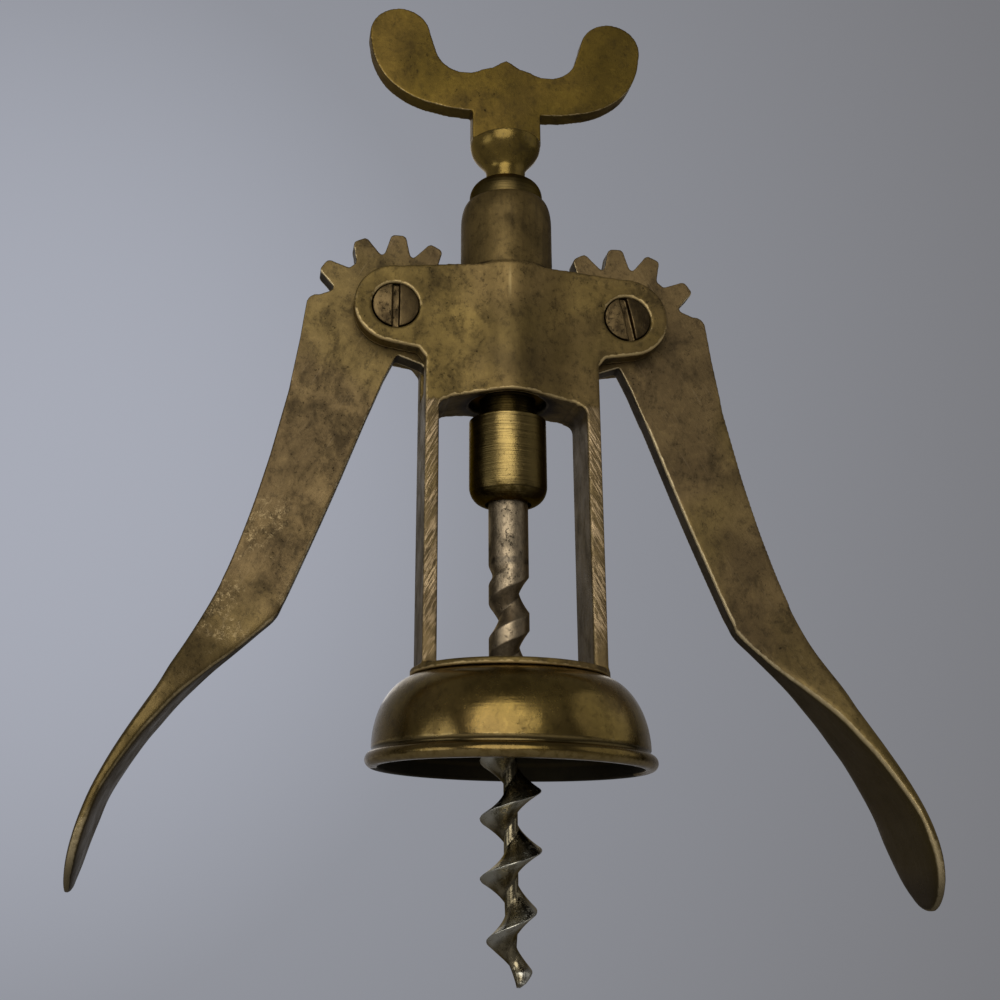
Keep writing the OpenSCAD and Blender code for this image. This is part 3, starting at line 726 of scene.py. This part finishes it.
def mark_shaded_inside(obj):
    """Stores 1 on the bell's inside, which gets painted shade that makes it nearly black, and 0
    on its outside.
    """
    co = points_of(obj.data) / MM
    reach = np.hypot(co[:, 0], co[:, 1])
    lift = np.clip((co[:, 2] - DOME[1]) / DOME_OUT[1], 0, 1)
    skin = DOME[0] + DOME_OUT[0] * np.sqrt(1 - lift ** 2)
    inner = (reach < skin - 0.6) & (co[:, 2] > 0.38) & (co[:, 2] < 11.2)
    # the rim's underside at the back, which lies in shade
    inner |= (co[:, 1] > 3) & (co[:, 2] < 0.5) & (reach < 19.0)
    store(obj, "inner", inner)


def sleeve_profile():
    """The rack sleeve: seven ring grooves that the levers' teeth engage, rounded ends, and a
    bore that widens at the bottom for the retaining ring."""
    outer_r, bottom, top = 5.66, 36.9, 88.95
    bore_r, seat_r, seat_top = 2.92, 3.35, 41.3
    round_r, round_z = 2.3, 2.7
    first, pitch, depth = 66.57, 5.0985, 1.56
    points = [(seat_r, bottom)]
    points += ellipse_arc(outer_r - round_r, bottom + round_z, round_r, round_z, -90, 0, 14)
    for k in range(-3, 4):
        z = first + k * pitch
        points += [(outer_r, z - 1.75), (outer_r - depth, z - 1.5),
                   (outer_r - depth, z + 1.5), (outer_r, z + 1.75)]
    points += ellipse_arc(outer_r - round_r, top - round_z, round_r, round_z, 0, 90, 14)
    points += [(bore_r, top), (bore_r, seat_top), (seat_r, seat_top)]
    return rounded(points, 0.22)


def worm_mesh():
    """The shank and its right-hand worm as a stack of rings, finer than the CAD's."""
    pitch, phase, tip, top = 7.55, -2.35, -26.8, 28.6
    # heights, up from the tip: where the nose ends, where the blade starts to narrow to the
    # shank's breadth and where it has, and where the groove has run out
    taper_z, full_z, land_z, shank_z = -14.0, 5.0, 12.0, 28.2
    bend_z = -25.0      # below it the helix draws out at half the pace
    outer, core, upper_core, shank = 4.2, 0.95, 1.4, 2.86
    land, above, below = 0.16, 0.4, 0.32    # the blade's parts as shares of a turn
    sides, per_turn, margin = 72, 60, 12
    z = np.linspace(tip, top, int((top - tip) / pitch * per_turn))
    nose = np.clip((taper_z - z) / (taper_z - tip), 0, 1)
    rise = eased_step((z - full_z) / (land_z - full_z))
    edge_r = outer * np.interp(nose, (0, 0.28, 0.7, 0.86, 0.96, 1),
                               (1, 0.81, 0.76, 0.54, 0.27, 0.08))
    edge_r = np.where(z > full_z, outer + (shank - outer) * rise, edge_r)
    kernel = np.hanning(15)
    softened = np.convolve(edge_r, kernel / kernel.sum(), "same")
    edge_r[margin:-margin] = softened[margin:-margin]
    core_r = core * np.interp(nose, (0, 0.7, 0.86, 1), (1, 0.8, 0.5, 0.2))
    core_r = core_r + (upper_core - core) * rise
    core_r = core_r + (shank - core_r) * eased_step((z - shank_z + 3) / 3)
    # each ring: how far a point is from the blade's crest, in turns, sets its radius
    turns = (np.maximum(z, (z + bend_z) / 2) - phase) / pitch
    angle = np.arange(sides) / sides
    turn = angle[None, :] - turns[:, None]
    d = np.round(turn) - turn
    u = np.maximum(0, np.abs(d) - land * rise[:, None])
    shape = np.where(d > 0, np.clip(1 - u / above, 0, 1) ** 1.6,
                     np.clip(1 - u / below, 0, 1) ** 1.35)
    r = core_r[:, None] + (edge_r - core_r)[:, None] * shape
    # the point stands off the axis
    off = (0.9 * nose ** 4)[:, None]
    around, lean = 2 * np.pi * angle, 2 * np.pi * turns[:, None]
    x = r * np.cos(around) + off * np.cos(lean)
    y = r * np.sin(around) + off * np.sin(lean)
    rings = list(np.stack([x, y, np.repeat(z[:, None], sides, 1)], 2))
    # the plain shank, and the stud that goes up into the handle
    for r1, z1 in ((shank, 40), (shank, 60), (shank, 80), (shank, 88.9), (shank - 0.2, 89.1),
                   (2.0, 89.11), (2.0, 95.2)):
        rings.append(np.stack([r1 * np.cos(around), r1 * np.sin(around), np.full(sides, z1)], 1))
    return loft("worm_and_shank", rings)


# ---------------------------------------------------------------- pieces

yoke = cast("frame_casting", [cad["yoke"]], voxel=0.22, rounds=3, keep=0.5)
mark_wear_and_highlight(yoke)
dress(yoke, "frame", cast_brass, ["yoke"])

for side, sign in (("left", -1), ("right", 1)):
    lever = cast("lever_" + side + "_casting", [cad["lever_" + side], square_arm(sign)],
                 voxel=0.205, rounds=3)
    level_arm(lever, sign)
    mark_flank(lever)
    mark_wear_and_highlight(lever)
    dress(lever, "lever_" + side, lever_brass, ["lever_" + side])
    screw = cast("screw_" + side, [cad["pivot_screw_" + side]], voxel=0.1, rounds=2)
    mark_wear_and_highlight(screw, rounds=8, full=0.10)
    dress(screw, "frame", screw_steel, ["pivot_screw_" + side])

handle = cast("wing_handle", [wing_plate(), handle_neck()], voxel=0.15, rounds=4)
mark_wear_and_highlight(handle)
dress(handle, "spindle", handle_brass, ["handle"])

bell = lathe("bell_dome", bell_profile(), segments=256)
mark_shaded_inside(bell)
mark_wear_and_highlight(bell, rounds=14, away=0.1)
dress(bell, "frame", bell_brass, ["bell"])

sleeve = lathe("rack_sleeve_turned", sleeve_profile(), segments=160)
mark_wear_and_highlight(sleeve, rounds=10, full=0.10, away=1.0)
dress(sleeve, "rack", sleeve_brass, ["rack_sleeve"])

worm = worm_mesh()
mark_wear_and_highlight(worm, rounds=30, full=0.10, away=1.0)
dress(worm, "spindle", worm_steel, ["worm"])

ring = cad["retaining_ring"]
ring.data.materials.clear()
ring.data.materials.append(worm_steel)


# ----------------------------------------------------------------- stage

PHOTO = 1000                # the photograph's side, in pixels
FOCAL = 1390.6              # its focal length, in pixels
MIDDLE = (397.03, 370.76)   # where the line of sight meets it: it is cut from a larger picture
SENSOR = 36                 # the camera's sensor, in millimetres
CENTRE = (0, 0, 0.05)       # where the lights aim
# the backdrop's glow: its direction, and the room's colour by the cosine of the angle from it
GLOW_WAY = (-0.20, 0.94, 0.27)
GLOW = [(0.0, (0.075, 0.075, 0.080)), (0.45, (0.12, 0.12, 0.13)), (0.73, (0.19, 0.19, 0.20)),
        (0.93, (0.27, 0.28, 0.315)), (1.0, (0.42, 0.44, 0.51))]


def camera():
    """The photograph's view: below the bell's rim, looking up, a little from the left."""
    yaw, pitch, roll = (math.radians(a) for a in (5.69, 20.78, 1.26))
    ahead = Vector((math.sin(yaw) * math.cos(pitch), math.cos(yaw) * math.cos(pitch),
                    math.sin(pitch)))
    right = Vector((math.cos(yaw), -math.sin(yaw), 0))
    up = right.cross(ahead)
    turned = right * math.cos(roll) + up * math.sin(roll)
    upright = up * math.cos(roll) - right * math.sin(roll)
    pose = Matrix((turned, upright, -ahead)).transposed().to_4x4()
    pose.translation = Vector((-35.64, -191.73, -16.45)) * MM
    data = bpy.data.cameras.new("camera")
    data.sensor_width = SENSOR
    data.lens = FOCAL * SENSOR / PHOTO
    data.shift_x = (PHOTO / 2 - MIDDLE[0]) / PHOTO
    data.shift_y = (MIDDLE[1] - PHOTO / 2) / PHOTO
    data.clip_start = 0.01
    data.clip_end = 20
    obj = bpy.data.objects.new("camera", data)
    bpy.context.scene.collection.objects.link(obj)
    obj.matrix_world = pose
    bpy.context.scene.camera = obj


def area_light(name, place, size, power, tint=(1, 1, 1)):
    """A round lamp in metres and watts, aimed at the corkscrew's middle."""
    data = bpy.data.lights.new(name, "AREA")
    data.shape = "DISK"
    data.size = size
    data.energy = power
    data.color = tint
    obj = bpy.data.objects.new(name, data)
    bpy.context.scene.collection.objects.link(obj)
    obj.location = place
    obj.rotation_euler = (Vector(CENTRE) - Vector(place)).to_track_quat("-Z", "Y").to_euler()


def room():
    """A dim room with a soft glow on the backdrop behind the piece, as in the photograph."""
    world = bpy.data.worlds.new("studio")
    world.use_nodes = True
    tree = world.node_tree
    place = tree.nodes.new("ShaderNodeTexCoord").outputs["Generated"]
    facing = tree.nodes.new("ShaderNodeVectorMath")
    facing.operation = "DOT_PRODUCT"
    tree.links.new(place, facing.inputs[0])
    facing.inputs[1].default_value = GLOW_WAY
    ramp = tree.nodes.new("ShaderNodeValToRGB")
    tree.links.new(facing.outputs["Value"], ramp.inputs[0])
    ramp.color_ramp.interpolation = "B_SPLINE"
    spots = ramp.color_ramp.elements
    while len(spots) < len(GLOW):
        spots.new(0.5)
    for spot, (where, tone) in zip(spots, GLOW):
        spot.position = where
        spot.color = (*tone, 1)
    tree.links.new(ramp.outputs[0], tree.nodes["Background"].inputs[0])
    bpy.context.scene.world = world


def lay_floor():
    """A pale floor far below the corkscrew, which fades out with distance."""
    g = Graph("floor_paint")
    tone = g.mix(g.noise(3, 3, 0.5), (0.40, 0.40, 0.41), (0.44, 0.44, 0.45))
    g.finish(tone, 0.9, g.bump(g.noise(60, 3, 0.5), 0.05, 0.2), 0.0)
    fade = g.node("ShaderNodeMixShader")
    clear = g.node("ShaderNodeBsdfTransparent")
    for socket, value in zip(fade.inputs, (g.past(g.reach(), 350, 950), g.shader.outputs[0],
                                           clear.outputs[0])):
        g.feed(socket, value)
    g.feed(g.out.inputs[0], fade.outputs[0])
    half, low = 1000, -110
    floor = new_object("floor", [(-half, -half, low), (half, -half, low), (half, half, low),
                                 (-half, half, low)], [(0, 1, 2, 3)])
    floor.data.materials.append(g.material)


camera()
lay_floor()
area_light("key", (-0.17, -0.60, 0.23), 0.62, 2.3, (1.0, 0.98, 0.95))
area_light("left_fill", (-0.65, -0.25, 0.05), 0.40, 0.48, (0.95, 0.97, 1.0))
area_light("right_rim", (0.60, -0.15, 0.25), 0.7, 0.36)
area_light("back", (0.05, 0.60, 0.35), 0.5, 0.4)
room()
bpy.context.scene.view_settings.view_transform = "Standard"
